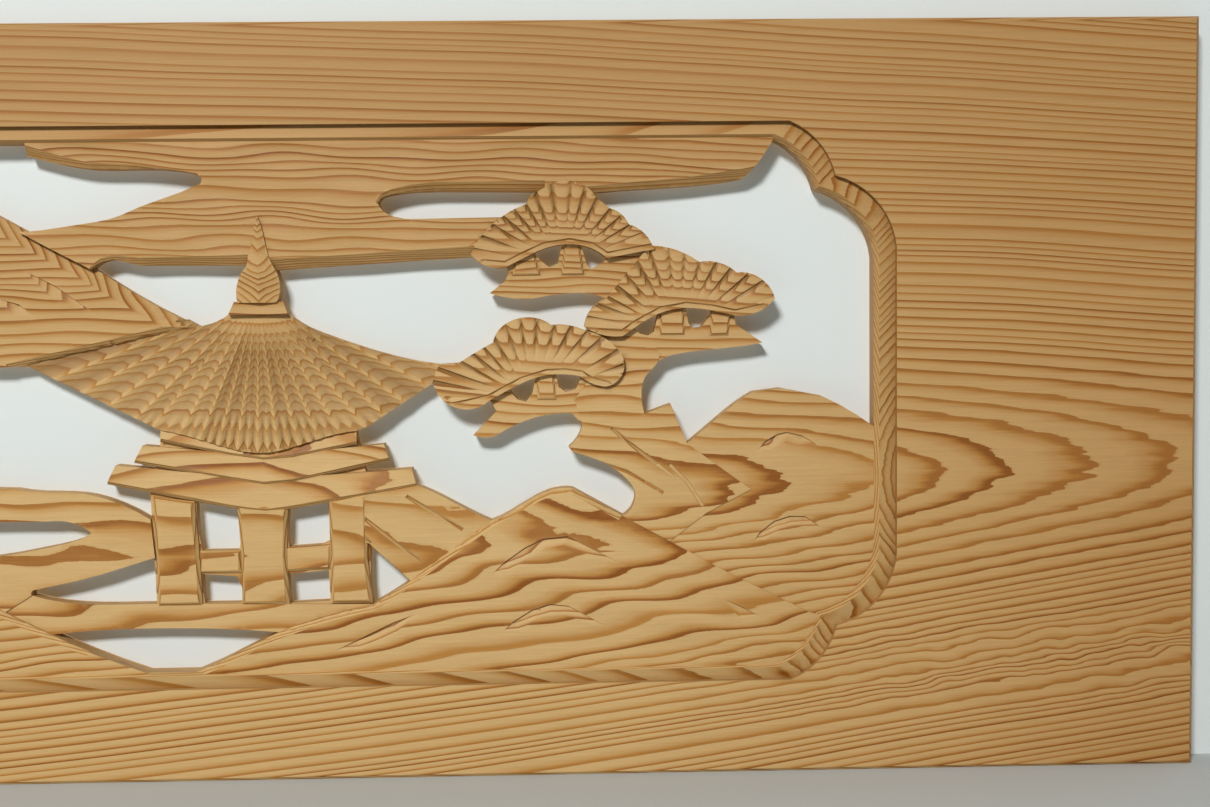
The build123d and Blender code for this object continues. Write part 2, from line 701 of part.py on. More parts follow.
# Eaves: three tiers, each in two halves that meet in a crease
eaves = []
for tier in left_eave_shares + right_eave_shares:
    outer_high, middle_high, middle_low, bend_low, outer_low = tier
    low_edge = [(outer_low, eave_low_depth), (middle_low, eave_low_depth)]
    slope = slope_plane(*low_edge, (middle_high, eave_high_depth))
    lower_edge = sorted([outer_low, bend_low, middle_low])
    bevel = edge_bevel(lower_edge, eave_low_depth, eave_bevel_width, eave_bevel_drop)
    eaves.append(cut_from(straight_form(tier, eave_low_depth, [slope]), [bevel]))

# Hall: a wall with windows, posts, rails and the slanted bands beside it
windows = [piercing(corners) for corners in window_shares]
hall_wall = cut_from(straight_form(hall_wall_shares, hall_wall_depth), windows)
posts = [raised_block(corners, post_depth, post_bevel) for corners in post_shares]
rails = [raised_block(corners, rail_depth, rail_bevel) for corners in rail_shares]
pent_cuts = [line_cut(path, pent_depth) for path in pent_line_shares]
pent = cut_from(carved_form(pent_shares, pent_depth), pent_cuts)

# Mist and ground
mist = cut_from(carved_form(mist_shares, mist_depth), [long_piercing(mist_slot_shares)])
ground = carved_form(ground_shares, ground_depth)

# Hills in front
near_cuts = []
for path in near_edge_shares:
    near_cuts.append(edge_bevel(path, near_mountain_depth, ridge_bevel_width, ridge_bevel_drop))
for path in near_fold_shares:
    near_cuts.append(run_out_cut(path, near_mountain_depth, fold_depth, steep_width, fold_width))
near_mountain = cut_from(carved_form(near_mountain_shares, near_mountain_depth), near_cuts)

left_cuts = [edge_bevel(left_ridge_shares, near_mountain_depth, ridge_bevel_width, ridge_bevel_drop)]
for path in left_fold_shares:
    left_cuts.append(run_out_cut(path[::-1], near_mountain_depth, fold_depth, steep_width, fold_width))
left_mountain = cut_from(carved_form(left_mountain_shares, near_mountain_depth), left_cuts)

right_cuts = []
for path in right_fold_shares:
    right_cuts.append(run_out_cut(path, right_mountain_depth, fold_depth, steep_width, fold_width))
right_mountain = cut_from(carved_form(right_mountain_shares, right_mountain_depth), right_cuts)

# Pine: trunk, boughs pierced by small windows, and the fans of needles
trunk_left, trunk_right, trunk_top = trunk_bend_shares
trunk_slope = slope_plane((trunk_left, trunk_depth), (trunk_right, trunk_depth), (trunk_top, bough_depth))
trunk_cuts = [line_cut(path, trunk_depth) for path in trunk_line_shares]
trunk = cut_from(carved_form(trunk_shares, trunk_depth, [trunk_slope]), trunk_cuts)
bough_windows = [piercing(corners) for corners in bough_window_shares]
boughs = []
for stretches in (upper_bough_shares, right_bough_shares, lower_bough_shares):
    boughs.append(cut_from(carved_form(stretches, bough_depth), bough_windows))
blocks = [raised_block(corners, block_depth, rail_bevel) for corners in bough_block_shares]

fans = []
for k, stretches in enumerate((upper_fan_shares, right_fan_shares, lower_fan_shares)):
    left_rim, right_rim, crown = fan_hinge_shares[k]
    slope = slope_plane((left_rim, fan_rim_depth), (right_rim, fan_rim_depth), (crown, fan_crown_depth))
    first_angle, last_angle = fan_angles[k]
    needle_cuts = []
    for n in range(needles_per_fan):
        angle = first_angle + n * (last_angle - first_angle) / (needles_per_fan - 1)
        inner = reach_point(fan_middle_shares[k], fan_rim_reach_shares[k], 1, angle)
        outer = reach_point(fan_middle_shares[k], fan_crown_reach_shares[k], 1, angle)
        levels = [max(depth_on(slope, share), fan_rim_depth) for share in (inner, outer)]
        depths = [0, needle_depth]
        half = needle_width / 2
        needle_cuts.append(chisel_cut([inner, outer], levels, depths, half, half, needle_depth))
    fans.append(cut_from(carved_form(stretches, fan_rim_depth, [slope]), needle_cuts))

# The panel is one piece of wood: every carved form is part of the same solid
with BuildPart() as carved_panel:
    add(border.part)
    add(rim.part)
    add([cloud, far_mountain, roof, finial, finial_base, hall_wall, pent, mist, ground])
    add(eaves + posts + rails)
    add([near_mountain, left_mountain, right_mountain, trunk])
    add(boughs + blocks + fans)

carved_panel.part.label = "carved_panel"
os.makedirs("parts", exist_ok=True)
export_step(carved_panel.part, "parts/carved_panel.step")
print("solids", len(carved_panel.part.solids()), "volume", round(carved_panel.part.volume))
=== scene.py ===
# %% [markdown]
# # A carved transom panel
# This lesson dresses a carved transom panel: one cedar board with a plain border, a moulding and a
# landscape in pierced low relief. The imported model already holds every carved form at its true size. What
# is left for Blender is what a chisel and the tree give: the fine flutes of the thatch and the needles,
# the slightly uneven tool-cut surfaces, and the growth rings that run through the whole board.

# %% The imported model
import json
import math

import bmesh
import bpy
import numpy as np
from mathutils import Matrix, Vector

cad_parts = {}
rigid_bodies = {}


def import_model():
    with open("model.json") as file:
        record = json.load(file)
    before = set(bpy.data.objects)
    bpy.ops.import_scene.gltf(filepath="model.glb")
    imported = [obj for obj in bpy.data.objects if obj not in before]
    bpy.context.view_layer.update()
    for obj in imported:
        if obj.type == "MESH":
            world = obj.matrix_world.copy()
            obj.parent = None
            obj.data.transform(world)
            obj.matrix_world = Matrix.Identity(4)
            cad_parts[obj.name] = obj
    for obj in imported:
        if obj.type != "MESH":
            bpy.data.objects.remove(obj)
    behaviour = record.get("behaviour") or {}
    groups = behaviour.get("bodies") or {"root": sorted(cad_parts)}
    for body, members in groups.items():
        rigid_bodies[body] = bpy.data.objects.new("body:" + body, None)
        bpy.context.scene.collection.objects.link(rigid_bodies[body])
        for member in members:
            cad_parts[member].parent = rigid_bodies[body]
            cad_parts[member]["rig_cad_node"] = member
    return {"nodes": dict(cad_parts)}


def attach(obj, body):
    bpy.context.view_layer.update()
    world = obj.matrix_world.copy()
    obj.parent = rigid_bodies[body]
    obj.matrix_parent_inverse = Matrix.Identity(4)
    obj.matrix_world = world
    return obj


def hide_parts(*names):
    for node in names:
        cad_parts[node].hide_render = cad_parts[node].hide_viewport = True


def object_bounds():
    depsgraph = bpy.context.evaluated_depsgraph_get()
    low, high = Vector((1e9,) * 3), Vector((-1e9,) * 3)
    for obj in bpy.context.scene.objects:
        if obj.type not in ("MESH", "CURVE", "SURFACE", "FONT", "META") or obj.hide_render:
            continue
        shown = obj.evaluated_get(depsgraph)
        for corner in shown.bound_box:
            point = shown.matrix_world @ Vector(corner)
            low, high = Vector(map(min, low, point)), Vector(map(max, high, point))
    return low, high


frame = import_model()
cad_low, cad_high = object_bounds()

print("board", [round(v, 3) for v in cad_high - cad_low])

# %% [markdown]
# ## The camera
# The picture is taken from a little right of the middle and slightly above, with a normal lens. The
# camera goes in first, because everything that follows is judged through it. It could be aimed with a
# constraint, but a hand-held picture also rolls a little, so its turn is built from three plain turns:
# the heading, the tilt and the roll.

# %% Camera
image_width = 1210
focal_pixels = 1700.0
camera_place = (0.1384, -0.8148, 0.2286)
turn_right = math.radians(1.589)
look_down = math.radians(3.494)
roll_right = math.radians(0.605)
bpy.ops.object.camera_add()
camera = bpy.context.active_object
camera.name = "photo_camera"
camera.data.sensor_width = 36.0
camera.data.lens = focal_pixels / image_width * camera.data.sensor_width
heading = Matrix.Rotation(-turn_right, 4, "Z")
tilt = Matrix.Rotation(math.radians(90.0) - look_down, 4, "X")
roll = Matrix.Rotation(-roll_right, 4, "Z")
camera.matrix_world = Matrix.Translation(camera_place) @ heading @ tilt @ roll
bpy.context.scene.camera = camera
print("lens", round(camera.data.lens, 1), "mm")

# %% [markdown]
# ## A working copy of the board
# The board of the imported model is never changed, so a copy of its mesh becomes the piece that is shown.
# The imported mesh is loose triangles: merging them by distance and dissolving the flat seams gives clean
# faces with the carver's real edges, which is what the next steps need.

# %% Copy and clean
merge_distance = 0.000002
flat_angle = math.radians(0.01)
bpy.ops.object.select_all(action="DESELECT")
board = frame["nodes"]["carved_panel"]
board.select_set(True)
bpy.context.view_layer.objects.active = board
bpy.ops.object.duplicate()
panel = bpy.context.active_object
panel.name = "carved_wood"
bpy.ops.object.parent_clear(type="CLEAR_KEEP_TRANSFORM")
del panel["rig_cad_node"]
bpy.ops.object.mode_set(mode="EDIT")
bpy.ops.mesh.select_all(action="SELECT")
bpy.ops.mesh.remove_doubles(threshold=merge_distance)
bpy.ops.mesh.dissolve_limited(angle_limit=flat_angle)
bpy.ops.object.mode_set(mode="OBJECT")
bpy.ops.mesh.customdata_custom_splitnormals_clear()
panel.data.materials.clear()
print("clean faces", len(panel.data.polygons))

# %% [markdown]
# ## Places on the board
# The carving was laid out in shares: across in half openings from the middle, and upward in opening
# heights from the sill. The same shares place everything that is cut here, so the fine work lands on the
# forms it belongs to. Each outline below goes once round its form.

# %% Layout
MM = 0.001
front = cad_low.y / MM
board_half = round(cad_high.x / MM, 3)
board_height = round(cad_high.z / MM, 3)
board_thickness = round((cad_high.y - cad_low.y) / MM, 3)
side_border, upper_border, sill = 155.0, 55.5, 52.5
half_opening = board_half - side_border
opening_height = board_height - upper_border - sill


def spot(share):
    """A place given in shares, as x and z in millimetres."""
    return np.array((share[0] * half_opening, sill + share[1] * opening_height))


def within(outline, x, z, margin=0.0):
    """True for the points inside an outline of shares, grown by a margin in millimetres."""
    corners = np.array([spot(share) for share in outline])
    middle = corners.mean(axis=0)
    reach = np.linalg.norm(corners - middle, axis=1, keepdims=True)
    corners = middle + (corners - middle) * (1 + margin / reach)
    hit = np.zeros(np.shape(x), bool)
    for (ax, az), (bx, bz) in zip(corners, np.roll(corners, -1, axis=0)):
        if az != bz:
            hit ^= ((az > z) != (bz > z)) & (x < ax + (z - az) * (bx - ax) / (bz - az))
    return hit


print("opening", 2 * half_opening, "by", opening_height, "mm")

# %% Outlines of the roof and the fans
roof_outline = [
    (-0.388, 0.602), (-0.13, 0.672), (-0.108, 0.658), (-0.06, 0.68), (0.036, 0.68), (0.055, 0.662),
    (0.10, 0.638), (0.18, 0.606), (0.24, 0.588), (0.288, 0.579), (0.277, 0.558), (0.27, 0.543),
    (0.165, 0.465), (0.145, 0.456), (0.05, 0.43), (-0.01, 0.417), (-0.06, 0.426), (-0.12, 0.447),
    (-0.175, 0.462), (-0.388, 0.582),
]
upper_fan_outline = [
    (0.338, 0.787), (0.352, 0.815), (0.39, 0.857), (0.43, 0.88), (0.45, 0.904), (0.475, 0.917),
    (0.495, 0.923), (0.512, 0.916), (0.543, 0.891), (0.565, 0.871), (0.597, 0.84), (0.622, 0.823),
    (0.637, 0.793), (0.56, 0.777), (0.535, 0.796), (0.50, 0.804), (0.46, 0.797), (0.43, 0.782),
    (0.395, 0.762), (0.36, 0.766),
]
right_fan_outline = [
    (0.522, 0.648), (0.53, 0.675), (0.56, 0.703), (0.605, 0.765), (0.63, 0.80), (0.675, 0.791),
    (0.712, 0.768), (0.746, 0.766), (0.773, 0.748), (0.814, 0.735), (0.836, 0.698), (0.815, 0.677),
    (0.77, 0.667), (0.73, 0.677), (0.69, 0.682), (0.65, 0.674), (0.61, 0.65), (0.585, 0.63),
    (0.55, 0.633),
]
lower_fan_outline = [
    (0.274, 0.54), (0.276, 0.56), (0.284, 0.58), (0.315, 0.582), (0.345, 0.603), (0.372, 0.62),
    (0.385, 0.648), (0.43, 0.667), (0.467, 0.652), (0.497, 0.651), (0.524, 0.641), (0.562, 0.621),
    (0.583, 0.595), (0.586, 0.565), (0.557, 0.535), (0.53, 0.543), (0.515, 0.555), (0.49, 0.559),
    (0.46, 0.558), (0.42, 0.544), (0.365, 0.511), (0.31, 0.498),
]
arch_points = 8
print("roof corners", len(roof_outline))

# %% Outline and folds of the hills
near_hill_outline = [
    (-0.13, -0.002), (-0.08, 0.022), (0.01, 0.072), (0.09, 0.103), (0.165, 0.123), (0.20, 0.146),
    (0.30, 0.228), (0.365, 0.281), (0.44, 0.327), (0.463, 0.338), (0.50, 0.341), (0.58, 0.289),
    (0.75, 0.18), (0.89, 0.098), (0.909, 0.092), (0.882, 0.031), (0.83, -0.008), (-0.13, -0.008),
]
near_folds = [
    [(0.355, 0.17), (0.385, 0.20), (0.42, 0.228), (0.45, 0.245), (0.49, 0.249), (0.648, 0.155)],
    [(0.372, 0.06), (0.40, 0.087), (0.43, 0.108), (0.46, 0.119), (0.49, 0.115), (0.595, 0.05)],
    [(0.08, 0.026), (0.14, 0.055), (0.20, 0.088), (0.262, 0.116)],
    [(0.72, 0.142), (0.78, 0.107), (0.828, 0.08)],
]
right_folds = [
    [(0.80, 0.40), (0.82, 0.425), (0.84, 0.438), (0.855, 0.442), (0.88, 0.435), (0.92, 0.41)],
    [(0.795, 0.225), (0.81, 0.25), (0.835, 0.272), (0.86, 0.281), (0.885, 0.28), (0.935, 0.243)],
]
print("folds", len(near_folds) + len(right_folds))

# %% [markdown]
# ## Where each flute runs
# A carver cuts flutes by eye, so no two are alike. A seeded table gives each ridge its angle and each
# valley its place and depth. The thatch has hollow flutes with sharp ridges. The needles are flat on top
# and lean: a short steep side below, and a broad side that looks up. The same table first places the cuts
# in the mesh and later gives the depth, so every crease lands on an edge.

# %% Flute tables
carver = np.random.default_rng(7)
ridge_wander = 0.12
valley_wander = 0.06
uneven_depth = (0.75, 1.2)
crown_angle = 50.0
points_a_flute = 4


def flute_table(low, high, step, deepest, shoulder, steepest=0.0, crown_share=1.0):
    """Angles of ridges, shoulders and valleys in turn, and the depth of the cut at each."""
    shoulder_place, shoulder_cut = shoulder
    ridges = np.arange(low, high + step, step)
    ridges = ridges + carver.uniform(-ridge_wander, ridge_wander, len(ridges)) * step
    angles, depths = [], []
    for start, end in zip(ridges[:-1], ridges[1:]):
        middle = (start + end) / 2
        aside = np.clip(abs(middle) / crown_angle, 0, 1)
        valley = 0.5 - steepest * aside * np.sign(middle) + carver.uniform(-valley_wander, valley_wander)
        lowest = deepest * (crown_share + (1 - crown_share) * aside) * carver.uniform(*uneven_depth)
        places = (0.0, valley * shoulder_place, valley, 1 - (1 - valley) * shoulder_place)
        for place, cut in zip(places, (0.0, shoulder_cut, 1.0, shoulder_cut)):
            angles.append(start + (end - start) * place)
            depths.append(lowest * cut)
    return np.array(angles + [ridges[-1]]), np.array(depths + [0.0])


def split_flutes(table):
    """The same flutes with one more low ridge standing in each valley."""
    ridges = table[0][::points_a_flute]
    depths = table[1][2::points_a_flute]
    width = np.diff(ridges)
    angles, cuts = [ridges], [np.zeros(len(ridges))]
    for share, cut in ((0.27, 0.9), (0.5, 0.2), (0.73, 0.9)):
        angles.append(ridges[:-1] + share * width)
        cuts.append(cut * depths)
    angles, cuts = np.concatenate(angles), np.concatenate(cuts)
    order = np.argsort(angles)
    return angles[order], cuts[order]


# %% Flutes of the roof and the fans
thatch_middle = np.array((-3.5, 232.0))
thatch_row_height = 182.0
thatch_flutes = flute_table(low=-84, high=84, step=7.6, deepest=1.1, shoulder=(0.36, 0.66))
thatch_tips = split_flutes(thatch_flutes)
fan_squash = 1.25
line_offset, line_width, line_depth = 2.4, 1.1, 0.8
upper_fan = dict(
    outline=upper_fan_outline,
    hinge=[(0.395, 0.762), (0.56, 0.777), (0.495, 0.923)],
    middle=(141.5, 245.0),
)
right_fan = dict(
    outline=right_fan_outline,
    hinge=[(0.585, 0.63), (0.77, 0.667), (0.675, 0.791)],
    middle=(196.0, 212.0),
)
lower_fan = dict(
    outline=lower_fan_outline,
    hinge=[(0.365, 0.511), (0.515, 0.555), (0.43, 0.667)],
    middle=(126.0, 181.0),
)
fans = [upper_fan, right_fan, lower_fan]
for fan in fans:
    fan["flutes"] = flute_table(
        low=-115, high=115, step=10.4, deepest=1.6, shoulder=(0.55, 0.1), steepest=0.27, crown_share=0.6
    )
tables = [thatch_flutes] + [fan["flutes"] for fan in fans]
print("flutes on roof and fans", [len(table[0]) // points_a_flute for table in tables])

# %% [markdown]
# ## Cuts in the mesh
# Only points can be moved, so straight cuts are laid through the front faces of the carving first: a wide
# grid everywhere inside the moulding, then one cut along every ridge and valley. A subdivision would also
# give points, but not along the ridges. The flat border and the back are left alone.

# %% Cutting helpers
least_facing = 0.25


def front_faces(bm, outline, margin=0.0, highest=1000.0):
    """Faces that look out of the front, with their middle inside an outline and below a height."""
    looking = [face for face in bm.faces if face.normal.y < -least_facing]
    middles = np.array([face.calc_center_bounds() for face in looking]) / MM
    hit = within(outline, middles[:, 0], middles[:, 2], margin) & (middles[:, 2] < highest)
    return [face for face, inside in zip(looking, hit) if inside]


def straight_cut(bm, faces, place, direction):
    """Cuts the faces along one straight line of the front, and gives back all their parts."""
    normal = Vector((direction[1], 0, -direction[0]))
    edges = dict.fromkeys(edge for face in faces for edge in face.edges)
    corners = dict.fromkeys(corner for face in faces for corner in face.verts)
    geometry = list(faces) + list(edges) + list(corners)
    place = Vector((place[0] * MM, 0, place[1] * MM))
    done = bmesh.ops.bisect_plane(bm, geom=geometry, plane_co=place, plane_no=normal, dist=0.01 * MM)
    return [part for part in done["geom"] if isinstance(part, bmesh.types.BMFace)]


def grid_cut(bm, faces, step):
    """Cuts the faces by a square grid."""
    corners = np.array([v.co for f in faces for v in f.verts]) / MM
    low, high = corners.min(axis=0), corners.max(axis=0)
    for x in np.arange(low[0] + step / 2, high[0], step):
        faces = straight_cut(bm, faces, (x, 0.0), (0, 1))
    for z in np.arange(low[2] + step / 2, high[2], step):
        faces = straight_cut(bm, faces, (0.0, z), (1, 0))
    return faces


# %% Wide grid
wide_step = 4.0
opening = [(-1.0, 0.0), (-1.0, 1.0), (1.0, 1.0), (1.0, 0.0)]
shape = bmesh.new()
shape.from_mesh(panel.data)
grid_cut(shape, front_faces(shape, opening), wide_step)
print("wide grid", len(shape.faces))

# %% Cuts of the thatch
thatch_step = 2.5
cut_margin = 1.0
tip_overlap = 3.0
faces = grid_cut(shape, front_faces(shape, roof_outline, cut_margin), thatch_step)
for angle in np.radians(thatch_flutes[0]):
    faces = straight_cut(shape, faces, thatch_middle, (math.sin(angle), -math.cos(angle)))
faces = front_faces(shape, roof_outline, cut_margin, highest=thatch_row_height + tip_overlap)
for angle in np.radians(thatch_tips[0]):
    faces = straight_cut(shape, faces, thatch_middle, (math.sin(angle), -math.cos(angle)))
print("with thatch", len(shape.faces))

# %% Cuts of the needles
needle_step = 1.8
line_sides = (line_offset - line_width / 2, line_offset, line_offset + line_width / 2)
for fan in fans:
    faces = grid_cut(shape, front_faces(shape, fan["outline"], cut_margin), needle_step)
    for angle in np.radians(fan["flutes"][0]):
        faces = straight_cut(shape, faces, fan["middle"], (fan_squash * math.sin(angle), math.cos(angle)))
    arch = [spot(share) for share in fan["outline"][-arch_points:]]
    for start, end in zip(arch[:-1], arch[1:]):
        run = (end - start) / np.linalg.norm(end - start)
        across = np.array((run[1], -run[0]))
        for offset in line_sides:
            faces = straight_cut(shape, faces, start + offset * across, run)
shape.to_mesh(panel.data)
print("with needles", len(shape.faces))
shape.free()

# %% [markdown]
# ## Which point belongs to which form
# The points are moved as one array of depths below the front. A point belongs to the roof or to a fan if
# it lies inside its outline and close to its known slope, so the sides of the openings and the forms
# behind stay where they are.

# %% Points
count = len(panel.data.vertices)
points = np.empty(count * 3)
panel.data.vertices.foreach_get("co", points)
points = points.reshape(-1, 3) / MM
x, z = points[:, 0], points[:, 2]
depth = points[:, 1] - front


def slope_through(*places):
    """Depth of the plane through three places, at every point."""
    rows = [(*spot(share), 1.0) for share, _ in places]
    a, b, c = np.linalg.solve(np.array(rows), np.array([level for _, level in places]))
    return a * x + b * z + c


def away_from(shares):
    """Distance of every point from a line through several places."""
    places = [spot(share) for share in shares]
    nearest = np.full(count, 1000.0)
    for start, end in zip(places[:-1], places[1:]):
        run = end - start
        share = np.clip(((x - start[0]) * run[0] + (z - start[1]) * run[1]) / (run @ run), 0, 1)
        gap = np.hypot(x - start[0] - share * run[0], z - start[1] - share * run[1])
        nearest = np.minimum(nearest, gap)
    return nearest


print("points", count)

# %% [markdown]
# ## Thatch
# The flutes of the thatch run from the foot of the finial down to the eave, and the last row is cut twice
# as fine. On the real roof the zigzag rows come from the growth rings that these flutes cut through, so
# the flutes are real geometry here and the rings do the rest.

# %% Slopes of the roof
eave_depth = 1.8
slack_above, slack_below = 0.3, 1.6
top = ((-0.01, 0.68), 8.0)
left_tip = ((-0.388, 0.583), 7.4)
right_tip = ((0.288, 0.579), 7.4)
left_corner = ((-0.175, 0.462), 3.4)
right_corner = ((0.155, 0.46), 3.4)
eave = ((-0.01, 0.417), eave_depth)
roof_level = np.maximum.reduce([
    slope_through(top, left_tip, left_corner),
    slope_through(top, left_corner, eave),
    slope_through(top, eave, right_corner),
    slope_through(top, right_corner, right_tip),
    np.full(count, eave_depth),
])
on_roof = within(roof_outline, x, z, margin=0.4)
on_roof &= (depth > roof_level - slack_above) & (depth < roof_level + slack_below)
print("thatch points", int(on_roof.sum()))

# %% Flutes of the thatch
plain_foot, foot_fade = 10.0, 18.0
tip_fade = 12.0
dark_thatch_cut = 1.3
reach = np.hypot(x - thatch_middle[0], z - thatch_middle[1])
turn = np.degrees(np.arctan2(x - thatch_middle[0], thatch_middle[1] - z))
tip_row = np.clip((thatch_row_height - z) / tip_fade, 0, 1)
cut = np.interp(turn, *thatch_flutes) * (1 - tip_row) + np.interp(turn, *thatch_tips) * tip_row
cut *= np.clip((reach - plain_foot) / foot_fade, 0, 1)
depth = np.where(on_roof, roof_level + cut, depth)
# valley_shade darkens the colour deeper in each flute: painted shade in the valleys.
valley_shade = np.where(on_roof, np.clip(cut / dark_thatch_cut, 0, 1), 0)
print("deepest flute", round(float(cut[on_roof].max()), 2), "mm")

# %% [markdown]
# ## Pine needles
# Each fan of the pine keeps a plain band along its arched lower edge, with a fine line cut above it. The
# needles start over this band and run out over the crown. They are cut into the mesh like the thatch,
# since bump alone would leave the outline of the crown smooth.

# %% Flutes of the pine
arch_depth, crown_depth = 1.2, 2.8
plain_band, crown_band, band_fade = 3.0, 5.0, 10.0
dark_needle_cut, pale_share = 0.8, 0.3
fan_slack = 1.8
on_fan = np.zeros(count, bool)
for fan in fans:
    left, right, crown = fan["hinge"]
    level = slope_through((left, arch_depth), (right, arch_depth), (crown, crown_depth))
    level = np.maximum(level, arch_depth)
    here = within(fan["outline"], x, z, margin=0.5)
    here &= (depth > level - slack_above) & (depth < level + fan_slack)
    turn = np.degrees(np.arctan2((x - fan["middle"][0]) / fan_squash, z - fan["middle"][1]))
    above_arch = away_from(fan["outline"][-arch_points:])
    crowning = 1 - np.clip(np.abs(turn) / crown_angle, 0, 1)
    rise = np.clip((above_arch - plain_band - crown_band * crowning) / band_fade, 0, 1)
    cut = np.interp(turn, *fan["flutes"]) * rise
    cut += line_depth * np.clip(1 - np.abs(above_arch - line_offset) / (line_width / 2), 0, 1)
    depth = np.where(here, level + cut, depth)
    # valley_shade darkens the deeper part of each needle cut in the colour: painted shade.
    valley_shade = np.where(here, np.clip(cut / dark_needle_cut - pale_share, 0, 1), valley_shade)
    on_fan |= here
    print("needle points", int(here.sum()))

# %% [markdown]
# ## The carver's hand
# The folds of the hills are single shallow strokes with a soft edge, so they are eased a little. And no
# carved slope is perfectly flat: long strokes of a gouge leave it gently uneven. A few slow waves,
# stretched along the grain, do this for every carved point. They are tiny, but the rings show them
# clearly. The border was planed, so it stays flat.

# %% Softer folds
fold_reach, fold_depth, fold_share = 6.0, 2.0, 0.75
near_hill_depth, right_hill_depth = 2.6, 4.0
eased = 0
for level, folds in ((near_hill_depth, near_folds), (right_hill_depth, right_folds)):
    for fold in folds:
        soft = (away_from(fold) < fold_reach) & (depth > level) & (depth < level + fold_depth)
        depth = np.where(soft, level + fold_share * (depth - level), depth)
        eased += int(soft.sum())
print("eased points", eased)

# %% Uneven strokes
skin = 0.25
back_skin = board_thickness - 0.5
wave_count, wave_height = 14, 0.18
shortest_wave, longest_wave, most_lean = 18.0, 50.0, 0.5
along_share, up_share = 0.4, 0.9
full_depth, least_depth = 2.0, 0.2
calm_share, cloud_share = 0.3, 1.5
cloud_height = 228.0
carved = (depth > skin) & (depth < back_skin) & within(opening, x, z)
waves = np.zeros(count)
for length in carver.uniform(shortest_wave, longest_wave, wave_count):
    lean = carver.uniform(-most_lean, most_lean)
    phase = carver.uniform(0, 2 * math.pi)
    run = x * along_share * np.sign(lean) + z * (up_share + lean)
    waves += np.sin(2 * math.pi * run / length + phase)
waves *= wave_height / waves.std()
liveliness = np.where(on_roof | on_fan, calm_share, np.where(z > cloud_height, cloud_share, 1.0))
liveliness = liveliness * np.clip(depth / full_depth, 0, 1)
depth = np.where(carved, np.maximum(depth + waves * liveliness, least_depth), depth)
print("carved points", int(carved.sum()))

# %% [markdown]
# ## Hollows and crests
# Dust gathers in cuts and crests are rubbed lighter, and the colour also gets painted shade in the cuts and
# a painted highlight on the crests. Each point is compared with its neighbours: lying deeper than they do
# makes it a hollow, standing out makes it a crest. The material reads this as one value, which works in
# every renderer, where a pointiness node would not.

# %% Measure hollows
hollow_gain, dust_and_shade_share = 1.7, 0.8
valley_gain, valley_start = 1.1, 0.15
short_edge, clear_mark = 0.3, 0.2
edges = np.empty(len(panel.data.edges) * 2, int)
panel.data.edges.foreach_get("vertices", edges)
first, second = edges.reshape(-1, 2).T
points[:, 1] = depth + front
lengths = np.linalg.norm(points[first] - points[second], axis=1) + short_edge
steps = (depth[first] - depth[second]) / lengths
sums = np.bincount(first, steps, count) - np.bincount(second, steps, count)
neighbours = np.bincount(first, minlength=count) + np.bincount(second, minlength=count)
inside = (depth > skin) & (depth < back_skin)
hollow = np.where(inside, np.clip(sums / neighbours * hollow_gain, -1, 1), 0)
# Hollows later darken the colour for dust and painted shade; crests lighten it for wear and a painted
# highlight.
hollow = np.where(hollow > 0, hollow * dust_and_shade_share, hollow)
# On the roof and the fans the painted valley shade is added to the hollows.
fluted = np.clip(hollow + valley_shade * valley_gain - valley_start, -1, 1)
hollow = np.where(on_roof | on_fan, fluted, hollow)
print("hollow points", int((hollow > clear_mark).sum()))
print("crest points", int((hollow < -clear_mark).sum()))

# %% Move the points
for name, values in (("hollow", hollow), ("carved", carved), ("thatch", on_roof)):
    layer = panel.data.attributes.new(name, "FLOAT", "POINT")
    layer.data.foreach_set("value", values.astype(np.float32))
panel.data.vertices.foreach_set("co", (points * MM).ravel())
panel.data.update()
print("deepest point", round(float(depth.max()), 2), "mm")

# %% [markdown]
# ## Where the rings run wide
# On the near hill, and on what stands back round the hall, the cut lies almost along the rings, so they
# show as wide bands. A value for each face marks these places. It is kept on faces and not on points, so
# that it changes sharply at the edge of a form and leaves no smear beside it.

# %% Mark the faces
hall_left, hall_right, hall_top = -280.0, 115.0, 170.0
beam_foot = 128.0
beam_depth, hall_depth, hall_deepest = 2.0, 4.1, 12.0
hill_highest, hill_deepest, hill_facing = 1.0, 4.05, 0.93
face_count = len(panel.data.polygons)
centres, normals = np.empty(face_count * 3), np.empty(face_count * 3)
panel.data.polygons.foreach_get("center", centres)
panel.data.polygons.foreach_get("normal", normals)
face_x, face_y, face_z = centres.reshape(-1, 3).T / MM
face_depth = face_y - front
facing = -normals.reshape(-1, 3)[:, 1]
hall = (face_x > hall_left) & (face_x < hall_right) & (face_z < hall_top)
hall &= ~within(roof_outline, face_x, face_z)
hall &= face_depth > np.where(face_z > beam_foot, beam_depth, hall_depth)
hall &= face_depth < hall_deepest
hill = within(near_hill_outline, face_x, face_z) & (facing > hill_facing)
hill &= (face_depth > hill_highest) & (face_depth < hill_deepest)
layer = panel.data.attributes.new("wide_rings", "FLOAT", "FACE")
layer.data.foreach_set("value", (hall | hill).astype(np.float32))
print("faces with wide rings", int((hall | hill).sum()))

# %% Smooth the strokes
bpy.ops.object.select_all(action="DESELECT")
panel.select_set(True)
bpy.context.view_layer.objects.active = panel
sharpest_smooth = math.radians(24)
bpy.ops.object.shade_smooth_by_angle(angle=sharpest_smooth)
panel.data.calc_loop_triangles()
print("triangles", len(panel.data.loop_triangles))

